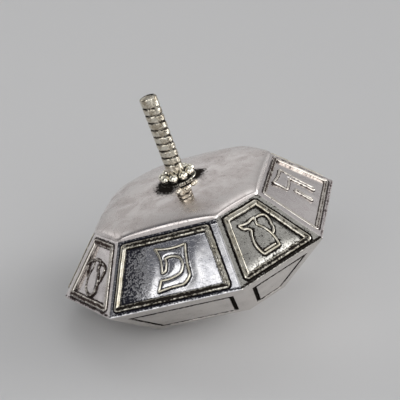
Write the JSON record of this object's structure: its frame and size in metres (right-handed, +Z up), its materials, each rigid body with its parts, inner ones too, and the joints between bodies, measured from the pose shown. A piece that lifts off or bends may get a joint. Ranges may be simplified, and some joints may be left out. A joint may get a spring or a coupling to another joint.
{
  "type": "dreidel",
  "caption": "Eight-sided silver spinning top with framed letter plaques, a domed lid, a shallow point and a ringed stem in a collar of grains, lying at rest.",
  "frame": {"origin": "centre of the point's face that the top lies on, on the surface it rests on", "axes": "+Z up from the surface; the spin axis leans toward -X, so the stem's end points up and to -X; +Y to the back"},
  "size_m": [0.0304, 0.032, 0.0266],
  "materials": {
    "satin_silver": "satin",
    "plaque_silver": "polished with dark recesses",
    "lower_silver": "polished",
    "stem_silver": "polished with dark rings",
    "grain_silver": "bright"
  },
  "bodies": {
    "root": {"lid": "satin_silver", "pe_plaque": "plaque_silver", "hei_plaque": "plaque_silver", "gimel_plaque": "plaque_silver", "nun_plaque": "plaque_silver", "jug_plaque_1": "plaque_silver", "jar_plaque_1": "plaque_silver", "jug_plaque_2": "plaque_silver", "jar_plaque_2": "plaque_silver", "lower_plate_1": "lower_silver", "lower_plate_2": "lower_silver", "lower_plate_3": "lower_silver", "lower_plate_4": "lower_silver", "lower_plate_5": "lower_silver", "lower_plate_6": "lower_silver", "lower_plate_7": "lower_silver", "lower_plate_8": "lower_silver", "point": "lower_silver", "stem": "stem_silver", "collar_plate": "grain_silver", "collar_grains": "grain_silver"}
  },
  "joints": []
}
